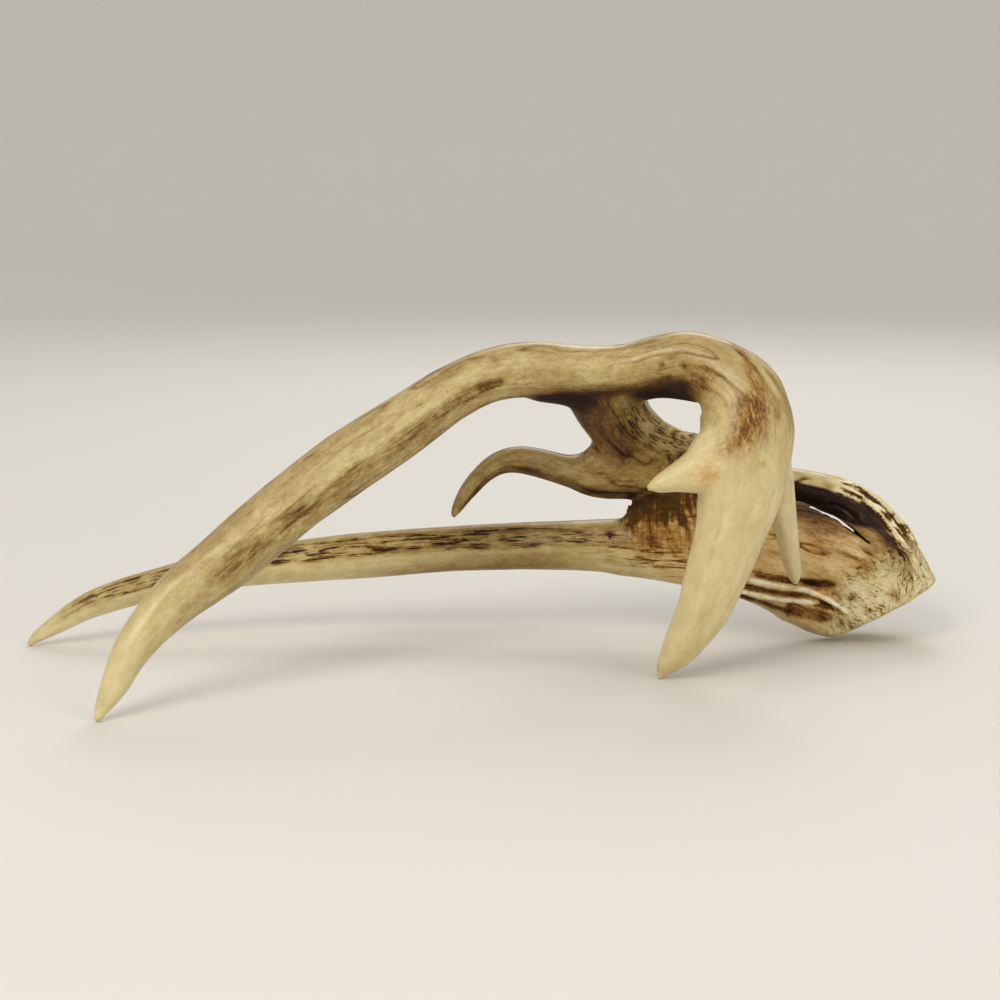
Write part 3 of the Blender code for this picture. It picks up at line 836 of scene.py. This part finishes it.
def antlerFinish():
    material = bpy.data.materials.new("antler_bone")
    material.use_nodes = True
    tree = material.node_tree
    tree.nodes.clear()
    make = Value(tree)

    def attribute(name, output="Fac"):
        return make.node("Attribute", {"attribute_name": name}, output=output)

    def mix(amount, first, second, blendType="MIX"):
        return make.node("Mix", {"data_type": "RGBA", "blend_type": blendType, "clamp_factor": True},
                         {0: amount, 6: first, 7: second}, output=2)

    grains = [attribute("grainA", "Vector"), attribute("grainB", "Vector")]
    grainMix = attribute("grainMix")

    def grained(long, wide, detail, rough, shift):
        # noise drawn out along the branch, its size in mm
        looks = []
        scale = (1 / long, 1 / wide, 1 / wide)
        start = (shift, shift * 1.7, shift * 0.6)
        for grain in grains:
            place = make.node("VectorMath", {"operation": "MULTIPLY_ADD"}, {0: grain, 1: scale, 2: start})
            looks.append(make.node("TexNoise", {"noise_dimensions": "3D"},
                                   {"Vector": place, "Scale": 1.0, "Detail": detail, "Roughness": rough}))
        return looks[0] + (looks[1] - looks[0]) * grainMix

    names = ("umber", "stain", "ochre", "cream", "streak", "row", "furrow", "crest", "burr", "sawn",
             "sponge", "bark")
    masks = {name: attribute(name) for name in names}
    noises = {name: grained(*sizes) for name, sizes in finish["grains"].items()}
    cloud, mottle, fibre, thread, worm, fleck, grit, hair, crack = noises.values()
    hairline = 1 - (hair - 0.5).size().between(0.015, 0.07)
    hairline = hairline * (mottle + 0.5 * thread).between(0.66, 0.8)
    crevice = 1 - (crack - 0.5).size().between(0.01, 0.06)
    crevice = crevice * (worm + 0.6 * mottle).between(0.78, 0.92)
    place = make.node("TexCoord", output="Object")
    barkScale = tuple(1 / size for size in finish["barkGrain"])
    upright = make.node("VectorMath", {"operation": "MULTIPLY"}, {0: place, 1: barkScale})
    upright = make.node("TexNoise", {"noise_dimensions": "3D"},
                        {"Vector": upright, "Scale": 1.0, "Detail": 3.0})
    dashes = (1.3 * fibre + 0.35 * thread + 0.15 * mottle).between(0.96, 1.1)

    weights = finish["weights"]
    # the dark mask here carries painted shade as well as dark stain, and the pale mask carries painted
    # highlights as well as polish
    pigment = finish["bare"] - weights["cream"] * masks["cream"] + weights["umber"] * masks["umber"]
    pigment = pigment + weights["streak"] * masks["streak"]
    pigment = pigment + (cloud - 0.5) * weights["cloud"] + (mottle - 0.5) * (0.3 + 0.2 * masks["streak"])
    pigment = pigment + (worm - 0.5) * (0.1 + 0.25 * masks["streak"])
    pigment = pigment + (fibre - 0.5) * (0.02 + 0.26 * masks["streak"] + 0.2 * masks["umber"])
    pigment = pigment + (thread - 0.5) * (0.01 + 0.16 * masks["streak"])
    speck = 0.22 + 0.12 * masks["streak"] + 0.3 * masks["ochre"] + 0.4 * masks["burr"] - 0.1 * masks["cream"]
    pigment = pigment + (grit + 0.6 * fleck - 0.8) * speck
    pigment = pigment + masks["row"] * (0.04 + 0.32 * dashes + 0.42 * hairline)
    pigment = pigment + masks["burr"] * (0.5 * crevice - 0.03)
    pigment = pigment + masks["stain"] * (1.2 * grit + 2.3 * worm + 0.6 * mottle - 1.6) * 0.68
    pigment = pigment + masks["bark"] * (upright - 0.47) * 1.5
    pigment = pigment + masks["furrow"] * (0.3 + fibre * 0.4) - masks["crest"] * 0.4
    sawnTone = 0.24 + (fleck - 0.5) * 0.3 + masks["sponge"] * 0.25
    pigment = pigment * (1 - masks["sawn"]) + masks["sawn"] * sawnTone
    bone = pigment.node("ValToRGB", {"stops": finish["pigment"]}, {"Fac": pigment})
    glaze = masks["ochre"] * (mottle + fleck - 0.35) * (1 - masks["crest"])
    bone = mix(glaze, bone, mix(1.0, bone, finish["ochre"], "MULTIPLY"))
    bone = mix((masks["bark"] * 0.35 + masks["stain"] * 0.5) * fleck, bone, finish["rust"])
    bone = mix(masks["burr"] * 0.45, bone, mix(1.0, bone, finish["chalk"], "MULTIPLY"))

    rough = (finish["bareRoughness"] + (finish["barkRoughness"] - finish["bareRoughness"])
             * (masks["umber"] * 0.4 + masks["furrow"] + masks["bark"] + masks["sawn"] + masks["burr"] * 0.6)
             + (mottle - 0.5) * 0.25)
    bumps = (0.3 * grit + 0.5 * (thread + fibre) * (0.05 + masks["streak"])
             + 0.5 * fleck * (0.4 + masks["burr"] + masks["bark"] + masks["sawn"]))
    bump = make.node("Bump", {}, {
        "Strength": finish["grainBump"], "Distance": finish["bumpDepth"] * mm, "Height": bumps,
    })
    polish = finish["polish"] * (1 - 0.6 * masks["umber"] - 0.8 * masks["stain"] - 0.9 * masks["row"]
                                - masks["furrow"] - masks["bark"] - masks["burr"] - masks["sawn"])
    surface = make.node("BsdfPrincipled", {}, {
        "Base Color": bone, "Roughness": rough, "Normal": bump, "IOR": 1.5,
        "Specular IOR Level": finish["specular"],
        "Coat Weight": polish.between(0.0, 1.0), "Coat Roughness": finish["coatRoughness"],
    })
    output = tree.nodes.new("ShaderNodeOutputMaterial")
    tree.links.new(surface.socket, output.inputs["Surface"])
    return material


antler.data.materials.clear()
antler.data.materials.append(antlerFinish())
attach(antler, "root")
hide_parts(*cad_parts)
print("antler finished")


studio = {
    "floor": tone(222, 220, 215), "floorRoughness": 0.8,
    "flatRadius": 2.4, "curveRadius": 1.6, "wallHeight": 2.2,   # metres
    "worldTone": tone(231, 229, 225), "worldStrength": 0.9,
    "camera": (0.00668, -0.81889, 0.22452), "pitch": 10, "lens": 64.8,
    "lights": {  # place, aimed at, size in metres, power in watts, tone
        "keyLight": ((-0.65, -1.25, 1.2), (0.02, 0, 0.06), 0.8, 12, tone(255, 247, 234)),
        "fillLight": ((1.2, -1.1, 0.7), (0.05, 0, 0.06), 1.1, 6, tone(250, 249, 252)),
        "backLight": ((0.3, 1.3, 1.3), (0, 0, 0.05), 1.0, 7, tone(255, 252, 246)),
    },
}


def makeFloor(sides=96, steps=12):
    # a round floor that curves up into a wall
    rings = [(0.0, 0.0)]
    rings += [(r, 0.0) for r in (1.0, 2.0, studio["flatRadius"])]
    for step in range(1, steps + 1):
        turn = step / steps * math.pi / 2
        rings.append((studio["flatRadius"] + studio["curveRadius"] * math.sin(turn),
                      studio["curveRadius"] * (1 - math.cos(turn))))
    rings.append((rings[-1][0], studio["wallHeight"]))
    points = [(0, 0, 0)]
    for radius, rise in rings[1:]:
        for side in range(sides):
            turn = 2 * math.pi * side / sides
            points.append((radius * math.cos(turn), radius * math.sin(turn), rise))
    faces = [(0, 1 + side, 1 + (side + 1) % sides) for side in range(sides)]
    for ring, side in itertools.product(range(len(rings) - 2), range(sides)):
        a, b = 1 + ring * sides + side, 1 + ring * sides + (side + 1) % sides
        faces.append((a, a + sides, b + sides, b))
    mesh = bpy.data.meshes.new("floor")
    mesh.from_pydata(points, [], faces)
    mesh.polygons.foreach_set("use_smooth", [True] * len(mesh.polygons))
    floor = bpy.data.objects.new("floor", mesh)
    bpy.context.scene.collection.objects.link(floor)
    material = bpy.data.materials.new("floor_paint")
    material.use_nodes = True
    paint = material.node_tree.nodes["Principled BSDF"]
    paint.inputs["Base Color"].default_value = studio["floor"]
    paint.inputs["Roughness"].default_value = studio["floorRoughness"]
    mesh.materials.append(material)


def makeLights():
    for name, (place, target, size, power, colour) in studio["lights"].items():
        light = bpy.data.lights.new(name, "AREA")
        light.shape = "DISK"
        light.size = size
        light.energy = power
        light.color = colour[:3]
        lamp = bpy.data.objects.new(name, light)
        lamp.location = place
        aim = np.array(target) - np.array(place)
        tilt = math.atan2(math.hypot(aim[0], aim[1]), -aim[2])
        lamp.rotation_euler = (tilt, 0, math.atan2(-aim[0], aim[1]))
        bpy.context.scene.collection.objects.link(lamp)
    world = bpy.data.worlds.new("studio")
    world.use_nodes = True
    background = world.node_tree.nodes["Background"]
    background.inputs["Color"].default_value = studio["worldTone"]
    background.inputs["Strength"].default_value = studio["worldStrength"]
    bpy.context.scene.world = world


def makeCamera():
    view = bpy.data.cameras.new("camera")
    view.lens = studio["lens"]
    view.sensor_width = 36
    camera = bpy.data.objects.new("camera", view)
    camera.location = studio["camera"]
    camera.rotation_euler = (math.radians(90 - studio["pitch"]), 0, 0)
    bpy.context.scene.collection.objects.link(camera)
    bpy.context.scene.camera = camera


makeFloor()
makeLights()
makeCamera()
bpy.context.scene.view_settings.view_transform = "Standard"
print("studio ready")
